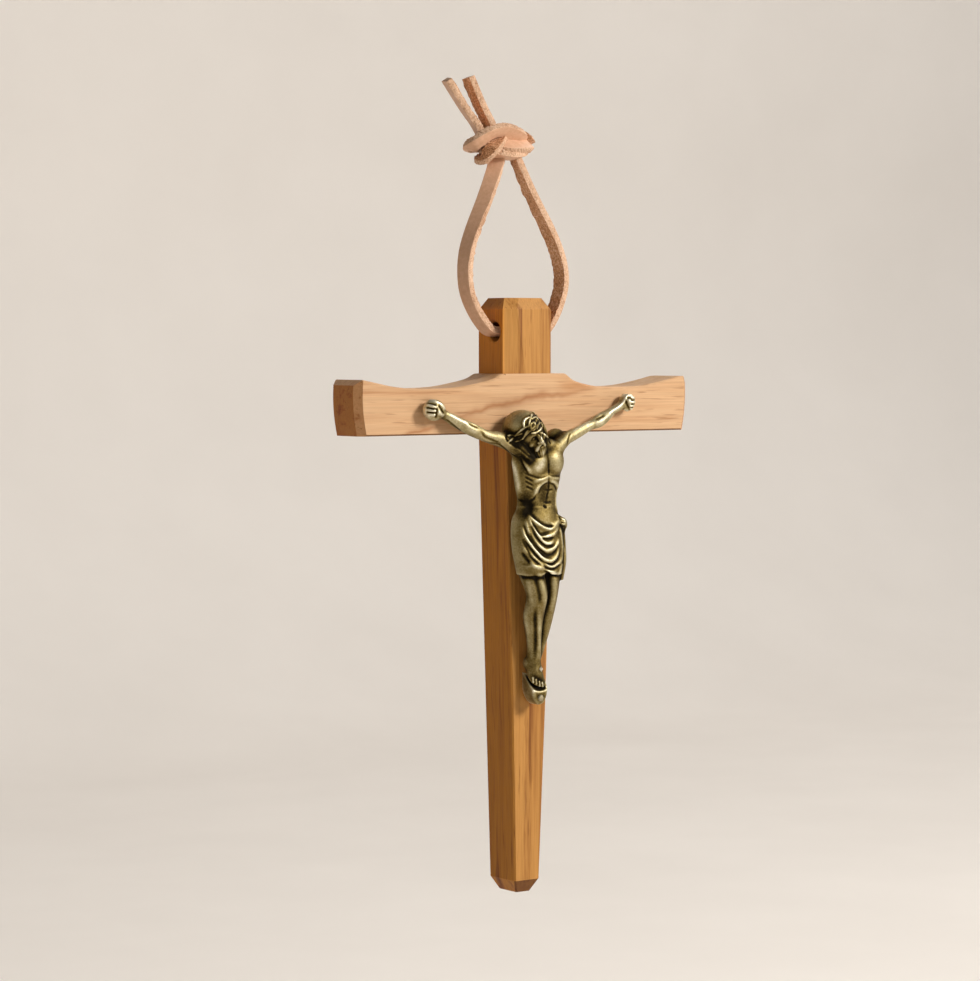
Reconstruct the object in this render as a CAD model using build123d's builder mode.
"""Wall crucifix: halved wooden cross, cast corpus, its pins and a knotted leather hanging thong."""
import os
from math import atan2, cos, hypot, pi, sin, tan

from build123d import *

os.makedirs("parts", exist_ok=True)

# Frame: the origin is under the knot, where a wall nail carries the thong.
# +Z is up, +Y points to the wall and the front faces -Y. Millimetres throughout.

# Place of the cross under the nail
CROSSING_DROP = 65.0
FRONT_SET = 10.2
BAR_DEPTH = 13.0

# Upright
HEAD_WIDTH = 16.0
FOOT_WIDTH = 8.2
HEAD_RISE = 28.6
FOOT_DROP = 131.4
HEAD_BEVEL_IN = 1.8
HEAD_BEVEL_DOWN = 3.1
FOOT_BEVEL_IN = 1.8
FOOT_BEVEL_UP = 3.4
HEAD_CHAMFER = 1.2
HEAD_FACET_TOP = 3.9
HEAD_FACET_LOW = 6.8
LEG_CHAMFER = 0.4
BACK_CHAMFER = 0.9
TOE_RELIEF = 0.9

# Crossbeam
BEAM_LENGTH = 110.6
BEAM_CROWN = 8.4
BEAM_SOLE = 7.5
BEAM_END_TOP = 7.45
BEAM_DIP = 4.65
BEAM_END_BULGE = 1.2
BEAM_END_BEVEL = 1.8
BEAM_ARRIS = 0.4
LEFT_SHOULDER = 0.4
RIGHT_SHOULDER = 3.4

# Leather lace and its bore through the head of the upright
LACE_WIDTH = 4.0
LACE_THICK = 2.5
BORE_RADIUS = 2.6
BORE_RISE = 19.6
BORE_SET = 5.3
BORE_LIP = 0.5
MOUTH_RADIUS = 4.2
LOOP_HALF_WIDTH = 16.2

# Pins
PIN_RADIUS = 0.6
PIN_IN_HAND = 1.8
PIN_IN_WOOD = 5.0
FOOT_PIN_HEAD = 0.85
INSTEP_SHANK = 0.35
INSTEP_DEPTH = 3.0
INSTEP_HEAD_LONG = 1.5
INSTEP_HEAD_WIDE = 1.1
INSTEP_HEAD_THICK = 0.5

# Corpus: the foot block's sole lies this far under the crossing, its heights stand on that sole
HAND_REACH = 32.4
HAND_THICK = 3.7
FOOT_BLOCK_WIDTH = 4.9
FOOT_BLOCK_OUT = 5.0
FOOT_BLOCK_SOLE = 80.1
FOOT_BLOCK_TOP = 8.9
FOOT_BLOCK_NOSE = 4.5
FOOT_BLOCK_ROUND = 1.7

FRONT_Y = -FRONT_SET
BACK_Y = FRONT_Y + BAR_DEPTH
LAP_Y = FRONT_Y + BAR_DEPTH / 2
TOE_Y = FRONT_Y + TOE_RELIEF
CROSSING_Z = -CROSSING_DROP
TOP_Z = CROSSING_Z + HEAD_RISE
TIP_Z = CROSSING_Z - FOOT_DROP
SOLE_Z = CROSSING_Z - BEAM_SOLE
CROWN_Z = CROSSING_Z + BEAM_CROWN
BLOCK_Z = CROSSING_Z - FOOT_BLOCK_SOLE
BLOCK_Y = FRONT_Y - FOOT_BLOCK_OUT
BORE_Y = FRONT_Y + BORE_SET
BORE_Z = CROSSING_Z + BORE_RISE
HEAD_HALF = HEAD_WIDTH / 2
FOOT_HALF = FOOT_WIDTH / 2
BEAM_HALF = BEAM_LENGTH / 2

# The figure is laid out in parts, of which its drop from the crossing to the sole holds 80.1
FIGURE_PARTS = 80.1
PART = FOOT_BLOCK_SOLE / FIGURE_PARTS


def on_figure(across, out, up):
    """Point in figure parts: across the cross, out from its front and up from the crossing."""
    return (across * PART, FRONT_Y - out * PART, CROSSING_Z + up * PART)


def eased(rows, steps=2):
    """Rows of a section table with smooth rows added between them."""
    smooth = []
    for index in range(len(rows) - 1):
        before, start = rows[max(index - 1, 0)], rows[index]
        end, after = rows[index + 1], rows[min(index + 2, len(rows) - 1)]
        for step in range(steps):
            t = step / steps
            smooth.append([
                b + t * ((c - a) / 2 + t * (a - 2.5 * b + 2 * c - d / 2 + t * (1.5 * (b - c) + (d - a) / 2)))
                for a, b, c, d in zip(before, start, end, after)
            ])
    return smooth + [list(rows[-1])]


OVAL_SIDES = 16


def oval(plane, half_width, half_depth):
    """Many-sided oval section on a plane, its half sizes in figure parts."""
    turns = [2 * pi * side / OVAL_SIDES for side in range(OVAL_SIDES)]
    with BuildSketch(plane) as section:
        with BuildLine():
            Polyline(*[(half_width * PART * cos(t), half_depth * PART * sin(t)) for t in turns], close=True)
        make_face()
    return section.sketch


# Where the pins enter the wood: one under each fist and one in the foot block's face
HAND_RISES = {-1: -0.7, 1: 0.0}
hand_spots = [(side * HAND_REACH, CROSSING_Z + rise * PART) for side, rise in HAND_RISES.items()]
foot_spot = (0.0, BLOCK_Z + FOOT_BLOCK_NOSE * 0.42)

# Upright: one bar through eight-cornered sections, bevelled at both ends
leg_top = (SOLE_Z, HEAD_HALF)
leg_end = (TIP_Z + FOOT_BEVEL_UP, FOOT_HALF)
block_half = leg_end[1] + (leg_top[1] - leg_end[1]) * (BLOCK_Z - leg_end[0]) / (leg_top[0] - leg_end[0])
# Height, half width, front, back, front chamfer, width of the facet planed on the left of the front
bar_sections = [
    (TIP_Z, FOOT_HALF - FOOT_BEVEL_IN, TOE_Y + FOOT_BEVEL_IN, BACK_Y - FOOT_BEVEL_IN, LEG_CHAMFER, LEG_CHAMFER),
    (TIP_Z + FOOT_BEVEL_UP, FOOT_HALF, TOE_Y, BACK_Y, LEG_CHAMFER, LEG_CHAMFER),
    (BLOCK_Z, block_half, FRONT_Y, BACK_Y, LEG_CHAMFER, LEG_CHAMFER),
    (SOLE_Z, HEAD_HALF, FRONT_Y, BACK_Y, LEG_CHAMFER, LEG_CHAMFER),
    (CROWN_Z, HEAD_HALF, FRONT_Y, BACK_Y, HEAD_CHAMFER, HEAD_FACET_LOW),
    (TOP_Z - HEAD_BEVEL_DOWN, HEAD_HALF, FRONT_Y, BACK_Y, HEAD_CHAMFER, HEAD_FACET_TOP),
    (
        TOP_Z, HEAD_HALF - HEAD_BEVEL_IN, FRONT_Y + HEAD_BEVEL_IN, BACK_Y - HEAD_BEVEL_IN,
        HEAD_CHAMFER, HEAD_FACET_TOP,
    ),
]
with BuildPart() as upright:
    for height, half, front, back, cut, facet in bar_sections:
        with BuildSketch(Plane.XY.offset(height)):
            with BuildLine():
                Polyline(
                    (-half + facet, front), (half - cut, front),
                    (half, front + cut), (half, back - BACK_CHAMFER),
                    (half - BACK_CHAMFER, back), (-half + BACK_CHAMFER, back),
                    (-half, back - BACK_CHAMFER), (-half, front + cut),
                    close=True,
                )
            make_face()
    loft(ruled=True)
    # Housing for the crossbeam in the front half
    with Locations((0, FRONT_Y, SOLE_Z)):
        Box(
            HEAD_WIDTH * 2, BAR_DEPTH / 2, CROWN_Z - SOLE_Z,
            align=(Align.CENTER, Align.MIN, Align.MIN), mode=Mode.SUBTRACT,
        )
    # Bore for the lace, with its mouths eased
    with BuildSketch(Plane.YZ.offset(-HEAD_WIDTH)):
        with Locations((BORE_Y, BORE_Z)):
            Circle(BORE_RADIUS)
    extrude(amount=HEAD_WIDTH * 2, mode=Mode.SUBTRACT)
    mouths = upright.edges().filter_by(GeomType.CIRCLE)
    chamfer(mouths, BORE_LIP)
    # Hole for the foot pin
    with BuildSketch(Plane.XZ.offset(-FRONT_Y)):
        with Locations(foot_spot):
            Circle(PIN_RADIUS)
    extrude(amount=-PIN_IN_WOOD, mode=Mode.SUBTRACT)
upright.part.label = "upright"
export_step(upright.part, "parts/upright.step")

# Crossbeam: straight sole, convex ends and a top edge that dips on both arms
# Share of the arm from the crown outwards, share of the rise from the dip
LEFT_WAVE = [(0.05, 0.78), (0.16, 0.40), (0.28, 0.15), (0.50, 0.0), (0.76, 0.24), (0.88, 0.62)]
RIGHT_WAVE = [(0.06, 0.65), (0.14, 0.30), (0.24, 0.08), (0.40, 0.0), (0.58, 0.06), (0.76, 0.46), (0.88, 0.84)]


def wave_points(wave, side, crown_half):
    """Points of one arm's top edge, from the crown to the end."""
    dip = min(share for share, rise in wave if rise == 0)
    points = []
    for share, rise in wave:
        rim = BEAM_CROWN if share < dip else BEAM_END_TOP
        across = crown_half + share * (BEAM_HALF - crown_half)
        points.append((side * across, CROSSING_Z + BEAM_DIP + rise * (rim - BEAM_DIP)))
    return points


end_top_z = CROSSING_Z + BEAM_END_TOP
end_bulge_z = CROSSING_Z + BEAM_DIP / 3
end_ease = BEAM_END_BULGE / 5
sole_left = (-BEAM_HALF + BEAM_END_BULGE, SOLE_Z)
sole_right = (BEAM_HALF - BEAM_END_BULGE, SOLE_Z)
top_left = (-BEAM_HALF + end_ease, end_top_z)
top_right = (BEAM_HALF - end_ease, end_top_z)
left_crown = HEAD_HALF + LEFT_SHOULDER
right_crown = HEAD_HALF + RIGHT_SHOULDER
crown_left = (-left_crown, CROWN_Z)
crown_right = (right_crown, CROWN_Z)

with BuildPart() as crossbeam:
    with BuildSketch(Plane.XZ.offset(-BACK_Y)):
        with BuildLine():
            Line(sole_left, sole_right)
            ThreePointArc(sole_right, (BEAM_HALF, end_bulge_z), top_right)
            Spline(crown_right, *wave_points(RIGHT_WAVE, 1, right_crown), top_right, tangents=((1, 0), (1, 0)))
            Line(crown_right, crown_left)
            Spline(crown_left, *wave_points(LEFT_WAVE, -1, left_crown), top_left, tangents=((-1, 0), (-1, 0.2)))
            ThreePointArc(top_left, (-BEAM_HALF, end_bulge_z), sole_left)
        make_face()
    extrude(amount=BAR_DEPTH)
    # Broad bevels round both ends but for the sole, a fine arris along the edges
    ends = crossbeam.faces().sort_by(Axis.X)
    end_edges = [edge for end in (ends[0], ends[-1]) for edge in end.edges().sort_by(Axis.Z)[1:]]
    chamfer(end_edges, BEAM_END_BEVEL)
    rims = crossbeam.faces().filter_by(Axis.Y).sort_by(Axis.Y)
    long_edges = [edge for rim in (rims[0], rims[-1]) for edge in rim.edges()
                  if edge.bounding_box().size.X > BEAM_END_BEVEL * 2]
    chamfer(long_edges, BEAM_ARRIS)
    # The arris stays sharp inside the joint
    with Locations((0, FRONT_Y, SOLE_Z)):
        Box(
            HEAD_WIDTH, BAR_DEPTH / 2, CROWN_Z - SOLE_Z,
            align=(Align.CENTER, Align.MIN, Align.MIN),
        )
    # Housing for the upright in the back half
    with Locations((0, LAP_Y, SOLE_Z)):
        Box(
            HEAD_WIDTH, BAR_DEPTH, CROWN_Z - SOLE_Z,
            align=(Align.CENTER, Align.MIN, Align.MIN), mode=Mode.SUBTRACT,
        )
    # Blind holes for the hand pins
    with BuildSketch(Plane.XZ.offset(-FRONT_Y)):
        with Locations(*hand_spots):
            Circle(PIN_RADIUS)
    extrude(amount=-PIN_IN_WOOD, mode=Mode.SUBTRACT)
crossbeam.part.label = "crossbeam"
export_step(crossbeam.part, "parts/crossbeam.step")

# Corpus sections in figure parts: up, across, out, half width, half depth
TORSO = [
    (-8.6, -0.6, 4.0, 3.4, 2.0),
    (-10.6, -0.4, 4.2, 7.2, 2.6),
    (-14.0, -0.5, 4.1, 8.0, 3.1),
    (-17.5, -0.5, 4.0, 7.7, 3.3),
    (-21.5, -0.5, 3.9, 6.9, 3.1),
    (-25.5, -0.8, 4.0, 5.9, 2.9),
    (-31.0, -0.8, 4.1, 7.0, 3.2),
]
LOINCLOTH = [
    (-29.0, -0.9, 4.0, 7.5, 3.3),
    (-33.0, -0.8, 4.3, 8.2, 3.7),
    (-38.0, -0.7, 4.6, 8.1, 4.0),
    (-43.0, -0.6, 4.9, 7.2, 4.1),
    (-45.3, -0.5, 5.0, 6.7, 3.9),
]
RIGHT_LEG = [
    (-43.0, -3.3, 4.9, 3.7, 3.3),
    (-46.0, -3.0, 5.4, 3.4, 3.2),
    (-50.8, -2.0, 6.0, 2.85, 2.75),
    (-56.3, -2.0, 4.4, 2.8, 2.7),
    (-62.0, -1.3, 3.6, 2.0, 2.1),
    (-66.5, -0.8, 3.2, 1.75, 1.8),
]
LEFT_LEG = [
    (-43.0, 3.6, 4.4, 3.2, 3.1),
    (-46.0, 3.3, 4.5, 2.9, 2.9),
    (-50.5, 3.05, 4.4, 2.6, 2.5),
    (-56.0, 2.6, 3.5, 2.4, 2.3),
    (-61.5, 2.3, 2.6, 1.8, 1.7),
    (-68.0, 0.6, 2.0, 1.5, 1.4),
]
CLOTH_TAIL = [
    (-32.0, 6.6, 4.4, 1.3, 1.6),
    (-37.0, 6.9, 4.6, 1.2, 1.8),
    (-42.0, 6.6, 5.0, 1.3, 2.0),
    (-46.8, 5.9, 5.2, 1.1, 1.4),
]
# Folds of the loincloth: start, lowest point and end of each swag, on the cloth
FOLDS = [
    [(-5.2, 6.5, -29.3), (-0.3, 7.7, -32.4), (4.8, 6.5, -31.2)],
    [(-5.6, 6.6, -30.2), (-1.5, 8.1, -34.9), (4.7, 6.7, -31.9)],
    [(-6.2, 6.5, -31.0), (-1.4, 8.3, -36.9), (4.2, 7.4, -34.0)],
    [(-6.6, 6.5, -32.0), (-1.0, 8.5, -38.7), (4.6, 7.3, -36.0)],
    [(-7.2, 6.3, -32.9), (-0.6, 8.7, -40.7), (5.0, 7.3, -38.3)],
    [(-7.1, 6.7, -36.3), (-1.0, 8.8, -42.6), (5.3, 7.0, -40.8)],
]
FOLD_RADIUS = 0.62
CLOTH_KNOT = [
    (-29.6, 5.6, 5.2, 0.7, 0.7),
    (-30.6, 6.2, 5.0, 1.8, 1.8),
    (-32.2, 6.4, 5.0, 2.0, 2.0),
    (-33.8, 6.6, 4.8, 1.3, 1.4),
]
RIGHT_CHEST = [
    (-12.2, -3.6, 4.6, 1.6, 1.6),
    (-14.6, -3.9, 4.2, 3.1, 3.0),
    (-17.2, -3.9, 4.1, 3.3, 3.3),
    (-19.2, -3.6, 4.3, 2.6, 2.5),
]
LEFT_CHEST = [(up, -1.0 - across, out, wide, deep) for up, across, out, wide, deep in RIGHT_CHEST]
SHOULDER_BACK = [
    (-11.0, 6.8, 2.4, 2.6, 2.2),
    (-8.6, 7.2, 2.2, 2.3, 2.1),
    (-6.7, 7.2, 2.0, 1.2, 1.1),
]
RIGHT_HEEL = [
    (-66.6, -0.8, 2.4, 1.3, 1.3),
    (-68.4, -0.9, 2.1, 1.75, 1.75),
    (-70.4, -0.8, 2.2, 1.2, 1.2),
]
LEFT_HEEL = [
    (-68.6, 0.4, 2.1, 1.6, 1.5),
    (-71.2, 0.2, 2.2, 2.1, 2.1),
    (-73.4, 0.2, 2.4, 1.4, 1.6),
]
# Arms: side, shoulder across, shoulder up, lift of the four middle sections above a straight arm
ARMS = [
    (-1, -7.2, -11.9, (-0.1, 0.0, -0.1, -0.35, -0.6)),
    (1, 6.6, -11.4, (0.5, 0.8, 1.05, 1.4, 1.1)),
]
ARM_SHARES = (0.12, 0.25, 0.40, 0.58, 0.77)
ARM_OUTS = (4.3, 4.0, 3.6, 3.2, 2.8)
ARM_RADII = (1.9, 1.5, 1.2, 1.2, 1.2)
SHOULDER_OUT = 4.3
SHOULDER_RADIUS = 2.2
WRIST_IN = 3.6
WRIST_DROP = 1.6
WRIST_OUT = 2.1
WRIST_RADIUS = 0.95
# Fist: distance along the hand from its middle, height, share of the hand's thickness
FIST = [(-4.4, 1.9, 0.78), (-1.6, 3.9, 0.95), (0.8, 4.6, 1.0), (2.2, 3.4, 0.76)]
# Head in its own plane: rise, across, back, half width, half depth
HEAD_PLACE = (-4.6, 4.4, -5.8)
HEAD_UP = (-0.46, -0.12, 0.88)
SKULL = [
    (4.9, 0.0, 0.0, 1.0, 1.0),
    (4.3, 0.0, 0.0, 2.6, 2.6),
    (2.6, 0.0, 0.0, 4.3, 4.3),
    (0.0, 0.0, 0.0, 5.0, 5.0),
    (-2.6, 0.0, 0.0, 4.3, 4.3),
    (-4.3, 0.0, 0.2, 2.6, 2.6),
]
JAW = [
    (0.0, 0.0, -0.2, 4.2, 4.6),
    (-3.0, 0.0, -1.0, 3.6, 4.2),
    (-5.4, 0.0, -2.0, 2.9, 3.2),
    (-7.2, 0.0, -2.9, 1.9, 2.0),
    (-8.4, 0.0, -3.4, 0.9, 0.9),
]
HAIR = [
    (1.5, -1.6, 3.2, 4.2, 3.2),
    (-2.0, -2.2, 2.2, 3.8, 2.8),
    (-5.5, -1.6, 0.8, 2.8, 2.0),
    (-8.0, -0.8, 0.6, 1.4, 1.2),
]
CROWN_UP = (-0.66, 0.05, 0.74)
CROWN_RISE = 0.8
CROWN_RING = 5.05
CROWN_TWIG = 0.66
CROWN_WEAVE = 9.0
# Neck: foot, top and radius
NECK = [(-0.6, 3.9, -10.2), (-4.0, 4.4, -6.4)]
NECK_RADIUS = 2.7
# Right foot over the left, from the ankle to above the toes: across, out, up, half width, half thickness
toes_out = FOOT_BLOCK_OUT / PART
toes_up = (FOOT_BLOCK_NOSE - FOOT_BLOCK_SOLE) / PART
RIGHT_FOOT = [
    (-0.8, 3.2, -65.6, 1.75, 1.8),
    (-0.8, 3.3, -69.0, 1.9, 1.8),
    (-0.4, 4.0, -72.2, 2.2, 1.5),
    (-0.1, toes_out, toes_up + 0.7, 2.2, 0.9),
]
instep_spot = on_figure(0.0, 5.3, -70.4)
INSTEP_BOSS = INSTEP_HEAD_WIDE * 0.6

head_plane = Plane(on_figure(*HEAD_PLACE), x_dir=(0.85, 0, 0.45), z_dir=HEAD_UP)
crown_axis = Vector(*CROWN_UP).normalized()
crown_middle = head_plane.origin + head_plane.z_dir * CROWN_RISE * PART
figure_limits = (BEAM_LENGTH, BAR_DEPTH, FOOT_DROP * 2)
BODY_FORMS = (
    TORSO, LOINCLOTH, RIGHT_LEG, LEFT_LEG, CLOTH_TAIL, CLOTH_KNOT,
    RIGHT_CHEST, LEFT_CHEST, SHOULDER_BACK, RIGHT_HEEL, LEFT_HEEL,
)

# Foot block: a corbel, slanted on top, rounded below and hollowed away from the wood at its foot
with BuildPart() as foot_block:
    with BuildSketch(Plane.YZ.offset(-FOOT_BLOCK_WIDTH / 2)):
        with BuildLine():
            Polyline(
                (FRONT_Y, BLOCK_Z + FOOT_BLOCK_TOP),
                (BLOCK_Y, BLOCK_Z + FOOT_BLOCK_NOSE),
                (BLOCK_Y, BLOCK_Z),
                (FRONT_Y - FOOT_BLOCK_OUT * 0.4, BLOCK_Z),
                (FRONT_Y, BLOCK_Z + FOOT_BLOCK_NOSE),
                close=True,
            )
        make_face()
    extrude(amount=FOOT_BLOCK_WIDTH)
    sole_edges = foot_block.edges().filter_by(Axis.Y).group_by(Axis.Z)[0]
    fillet(sole_edges, FOOT_BLOCK_ROUND)

# Corpus: the forms are fused in one step and every cut is taken in another
forms = [foot_block.part]
cuts = []
with BuildPart() as corpus:
    for rows in BODY_FORMS:
        sections = [
            oval(Plane(on_figure(across, out, up)), half_width, half_depth)
            for up, across, out, half_width, half_depth in eased(rows)
        ]
        forms.append(loft(sections, ruled=True, mode=Mode.PRIVATE))
    # Swags of the loincloth
    for fold in FOLDS:
        with BuildLine() as swag:
            ThreePointArc(*[on_figure(*point) for point in fold])
        with BuildSketch(Plane(swag.line @ 0, z_dir=swag.line % 0)):
            RegularPolygon(FOLD_RADIUS * PART, 8)
        forms.append(sweep(path=swag.line, mode=Mode.PRIVATE))
    # Arms and fists
    for (side, shoulder_across, shoulder_up, lifts), hand in zip(ARMS, hand_spots):
        shoulder = Vector(*on_figure(shoulder_across, SHOULDER_OUT, shoulder_up))
        wrist = Vector(hand[0] - side * WRIST_IN * PART, FRONT_Y - WRIST_OUT * PART, hand[1] - WRIST_DROP * PART)
        stations = [(*shoulder, SHOULDER_RADIUS)]
        for share, lift, out, radius in zip(ARM_SHARES, lifts, ARM_OUTS, ARM_RADII):
            place = shoulder + (wrist - shoulder) * share
            stations.append((place.X, FRONT_Y - out * PART, place.Z + lift * PART, radius))
        stations.append((*wrist, WRIST_RADIUS))
        sections = [
            oval(Plane((x, y, z), x_dir=(0, 1, 0), z_dir=wrist - shoulder), radius, radius)
            for x, y, z, radius in eased(stations)
        ]
        forms.append(loft(sections, ruled=True, mode=Mode.PRIVATE))
        for reach, high, share in FIST:
            place = (hand[0] + side * reach * PART, FRONT_Y - HAND_THICK * share / 2, hand[1])
            with BuildSketch(Plane(place, x_dir=(0, 1, 0), z_dir=(1, 0, 0))):
                Rectangle(HAND_THICK * share, high * PART)
                chamfer(vertices(), HAND_THICK * share * 0.25)
        forms.append(loft(ruled=True, mode=Mode.PRIVATE))
    # Neck, head and hair
    sections = [
        oval(Plane(on_figure(*place), x_dir=(1, 0, 0), z_dir=HEAD_UP), NECK_RADIUS, NECK_RADIUS)
        for place in NECK
    ]
    forms.append(loft(sections, ruled=True, mode=Mode.PRIVATE))
    for rows in (SKULL, JAW, HAIR):
        sections = []
        for rise, across, back, half_width, half_depth in eased(rows):
            place = head_plane.from_local_coords(Vector(across, back, rise) * PART)
            plane = Plane(place, x_dir=head_plane.x_dir, z_dir=head_plane.z_dir)
            sections.append(oval(plane, half_width, half_depth))
        forms.append(loft(sections, ruled=True, mode=Mode.PRIVATE))
    # Crown of two interlaced rings
    for tilt in (-CROWN_WEAVE, CROWN_WEAVE):
        ring_plane = Plane(crown_middle, x_dir=(0, 1, 0), z_dir=crown_axis).rotated((tilt, 0, 0))
        with BuildLine(ring_plane) as ring:
            CenterArc((0, 0), CROWN_RING * PART, 0, 180)
            CenterArc((0, 0), CROWN_RING * PART, 180, 180)
        ring_path = ring.wire()
        with BuildSketch(Plane(ring_path @ 0, z_dir=ring_path % 0)):
            RegularPolygon(CROWN_TWIG * PART, 6)
        forms.append(sweep(path=ring_path, mode=Mode.PRIVATE))
    # Right foot over the left
    steps = [Vector(*on_figure(*row[:3])) for row in RIGHT_FOOT]
    sections = []
    for index, (across, out, up, half_width, half_depth) in enumerate(RIGHT_FOOT):
        run = steps[min(index + 1, len(steps) - 1)] - steps[max(index - 1, 0)]
        sections.append(oval(Plane(steps[index], x_dir=(1, 0, 0), z_dir=run), half_width, half_depth))
    forms.append(loft(sections, ruled=True, mode=Mode.PRIVATE))
    # Boss under the instep nail, with the nail's hole
    for radius, group in ((INSTEP_BOSS, forms), (INSTEP_SHANK, cuts)):
        with BuildSketch(Plane.XZ.offset(-instep_spot[1])):
            with Locations((instep_spot[0], instep_spot[2])):
                Circle(radius)
        group.append(extrude(amount=-INSTEP_DEPTH, mode=Mode.PRIVATE))
    # Flat back where the casting seats on the wood
    with Locations((0, FRONT_Y, CROSSING_Z)):
        cuts.append(Box(*figure_limits, align=(Align.CENTER, Align.MIN, Align.CENTER), mode=Mode.PRIVATE))
    # Pin holes
    for spots, deep in ((hand_spots, PIN_IN_HAND), ([foot_spot], FOOT_BLOCK_OUT)):
        with BuildSketch(Plane.XZ.offset(-FRONT_Y)):
            with Locations(*spots):
                Circle(PIN_RADIUS)
        cuts.append(extrude(amount=deep, mode=Mode.PRIVATE))
    add(forms)
    add(cuts, mode=Mode.SUBTRACT)
corpus.part.label = "corpus"
export_step(corpus.part, "parts/corpus.step")

# Plain pins from the fists into the crossbeam
with BuildPart() as hand_pins:
    with BuildSketch(Plane.XZ.offset(-FRONT_Y - PIN_IN_WOOD)):
        with Locations(*hand_spots):
            Circle(PIN_RADIUS)
    extrude(amount=PIN_IN_WOOD + PIN_IN_HAND)
hand_pins.part.label = "hand_pins"
export_step(hand_pins.part, "parts/hand_pins.step")

# Round-headed pin through the foot block
with BuildPart() as foot_pin:
    with BuildSketch(Plane.XZ.offset(-FRONT_Y - PIN_IN_WOOD)):
        with Locations(foot_spot):
            Circle(PIN_RADIUS)
    extrude(amount=PIN_IN_WOOD + FOOT_BLOCK_OUT)
    with BuildSketch(Plane.XZ.offset(-BLOCK_Y)):
        with Locations(foot_spot):
            Circle(FOOT_PIN_HEAD)
    extrude(amount=FOOT_PIN_HEAD * 0.6)
    rim = foot_pin.faces().sort_by(Axis.Y)[0].edges()
    chamfer(rim, FOOT_PIN_HEAD * 0.35)
foot_pin.part.label = "foot_pin"
export_step(foot_pin.part, "parts/foot_pin.step")

# Instep nail with a diamond head
with BuildPart() as instep_nail:
    with BuildSketch(Plane.XZ.offset(-instep_spot[1])):
        with BuildLine():
            Polyline(
                (instep_spot[0], instep_spot[2] + INSTEP_HEAD_LONG / 2),
                (instep_spot[0] + INSTEP_HEAD_WIDE / 2, instep_spot[2]),
                (instep_spot[0], instep_spot[2] - INSTEP_HEAD_LONG / 2),
                (instep_spot[0] - INSTEP_HEAD_WIDE / 2, instep_spot[2]),
                close=True,
            )
        make_face()
    extrude(amount=INSTEP_HEAD_THICK, taper=30)
    with BuildSketch(Plane.XZ.offset(-instep_spot[1])):
        with Locations((instep_spot[0], instep_spot[2])):
            Circle(INSTEP_SHANK)
    extrude(amount=-INSTEP_DEPTH)
instep_nail.part.label = "instep_nail"
export_step(instep_nail.part, "parts/instep_nail.step")

# Thong: one lace through the bore, both strands rising to the knot in a plane that leans to the wall
LOOP_LEAN = atan2(-BORE_Y, -BORE_Z)
LOOP_RISE = hypot(BORE_Y, BORE_Z)
loop_plane = Plane((0, BORE_Y, BORE_Z), x_dir=(1, 0, 0), z_dir=(0, -cos(LOOP_LEAN), sin(LOOP_LEAN)))

mouth_run = HEAD_HALF + LACE_WIDTH * 0.6
strand = [
    (mouth_run, 0.0),
    (LOOP_HALF_WIDTH - 0.2, 8.8),
    (LOOP_HALF_WIDTH + 0.2, 16.8),
    (LOOP_HALF_WIDTH - 1.9, 24.6),
    (6.3, LOOP_RISE - 7.0),
    (2.9, LOOP_RISE + 1.5),
]
route = [(-x, r) for x, r in reversed(strand)] + strand


def turn_at(points, index):
    """Angle by which the route turns at one of its points, in radians."""
    (x0, y0), (x1, y1), (x2, y2) = points[index - 1:index + 2]
    turn = atan2(y2 - y1, x2 - x1) - atan2(y1 - y0, x1 - x0)
    return abs((turn + pi) % (2 * pi) - pi)


def bend_radii(points, mouths=()):
    """Bend radius at every inner point; the bore's mouths keep the tight one."""
    radii = []
    for index in range(1, len(points) - 1):
        (x0, y0), (x1, y1), (x2, y2) = points[index - 1:index + 2]
        run = min(hypot(x1 - x0, y1 - y0), hypot(x2 - x1, y2 - y1))
        radius = 0.45 * run / tan(turn_at(points, index) / 2)
        radii.append(min(radius, MOUTH_RADIUS) if index in mouths else radius)
    return radii


mouth_points = (len(strand) - 1, len(strand))
loop_radii = bend_radii(route, mouth_points)
print("loop radii", [round(r, 2) for r in loop_radii])

with BuildPart() as thong_loop:
    with BuildLine(loop_plane) as loop_path:
        FilletPolyline(*route, radius=loop_radii)
    lace = loop_path.wire()
    with BuildSketch(Plane(lace @ 0, x_dir=loop_plane.z_dir, z_dir=lace % 0)):
        Rectangle(LACE_WIDTH, LACE_THICK)
    sweep(path=lace)
thong_loop.part.label = "thong_loop"
export_step(thong_loop.part, "parts/thong_loop.step")
lace_volume = LACE_WIDTH * LACE_THICK * lace.length
print("loop length", round(lace.length, 1), "volume ratio", round(thong_loop.part.volume / lace_volume, 4))

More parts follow.
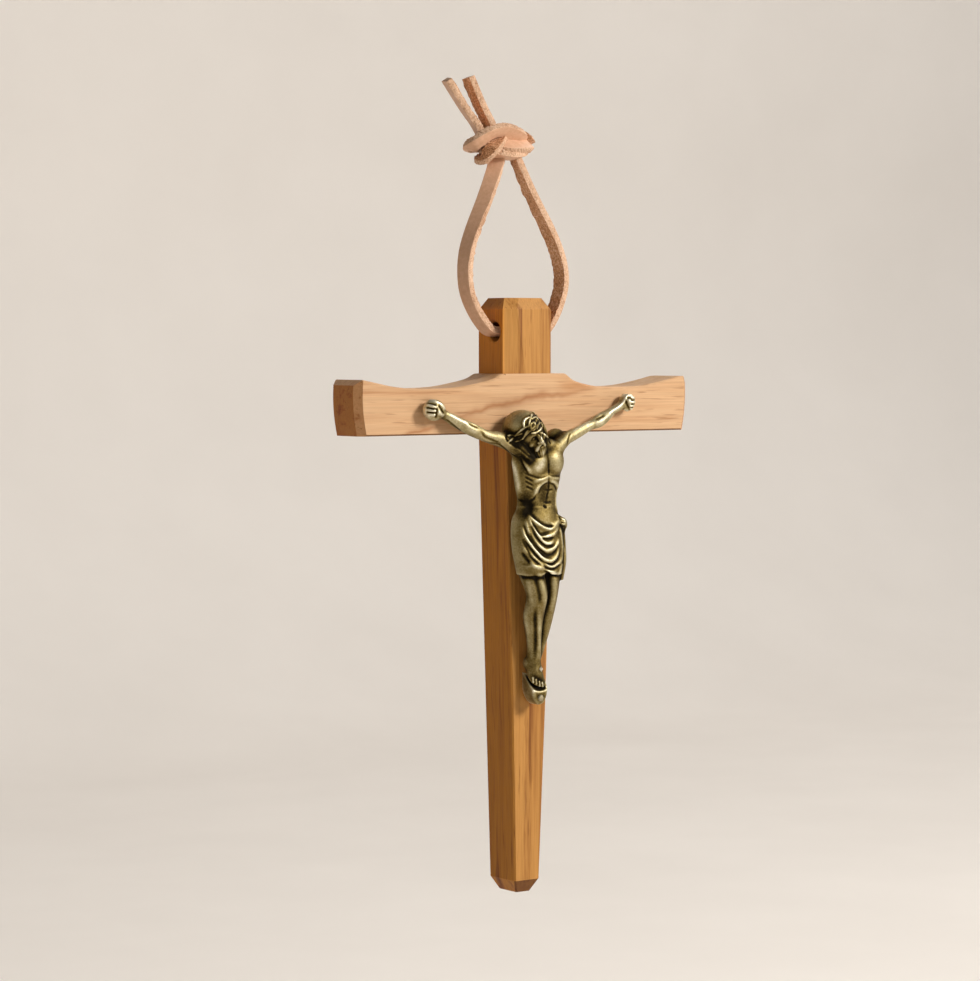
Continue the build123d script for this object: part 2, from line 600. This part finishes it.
# Two free tails leave the knot up and to the left
TAILS = [
    [(-6.6, LOOP_RISE + 4.6), (-8.6, LOOP_RISE + 9.0), (-13.0, LOOP_RISE + 14.0), (-18.2, LOOP_RISE + 21.6)],
    [(-3.0, LOOP_RISE + 5.6), (-4.6, LOOP_RISE + 10.2), (-7.4, LOOP_RISE + 15.2), (-10.4, LOOP_RISE + 22.6)],
]
with BuildPart() as thong_tails:
    for tail in TAILS:
        tail_radii = bend_radii(tail)
        print("tail radii", [round(r, 2) for r in tail_radii])
        with BuildLine(loop_plane) as tail_path:
            FilletPolyline(*tail, radius=tail_radii)
        tail_wire = tail_path.wire()
        with BuildSketch(Plane(tail_wire @ 0, x_dir=loop_plane.z_dir, z_dir=tail_wire % 0)):
            Rectangle(LACE_WIDTH, LACE_THICK)
        sweep(path=tail_wire)
        print("tail length", round(tail_wire.length, 1))
thong_tails.part.label = "thong_tails"
export_step(thong_tails.part, "parts/thong_tails.step")

# Knot: the doubled lace bundled crosswise, with turns of lace over it, let in round strands and tails
# Bundle: across, rise over the nail, height, depth
BUNDLE = [
    (-11.4, 6.8, 3.6, 4.2),
    (-8.6, 6.6, 6.6, 6.0),
    (-2.0, 5.4, 7.8, 6.4),
    (4.2, 5.0, 6.8, 6.0),
    (7.6, 5.2, 3.6, 4.2),
]
# Turns: across, rise over the nail, lean, height, depth
TURNS = [(-6.6, 6.2, 30, 9.6, 7.8), (-0.6, 5.2, -24, 9.8, 8.4), (4.4, 5.0, 14, 8.6, 7.6)]
with BuildPart() as thong_knot:
    for across, rise, high, deep in BUNDLE:
        place = loop_plane.from_local_coords(Vector(across, LOOP_RISE + rise, 0))
        with BuildSketch(Plane(place, x_dir=loop_plane.z_dir, z_dir=(1, 0, 0))):
            Rectangle(deep, high)
            chamfer(vertices(), deep * 0.25)
    loft(ruled=True)
    for across, rise, lean, high, deep in TURNS:
        place = loop_plane.from_local_coords(Vector(across, LOOP_RISE + rise, 0))
        turn_plane = Plane(place, x_dir=loop_plane.z_dir, z_dir=(1, 0, 0)).rotated((lean, 0, 0))
        with BuildSketch(turn_plane):
            Rectangle(deep, high)
            chamfer(vertices(), deep * 0.3)
        extrude(amount=LACE_WIDTH / 2, both=True)
    add(thong_loop.part, mode=Mode.SUBTRACT)
    add(thong_tails.part, mode=Mode.SUBTRACT)
thong_knot.part.label = "thong_knot"
export_step(thong_knot.part, "parts/thong_knot.step")
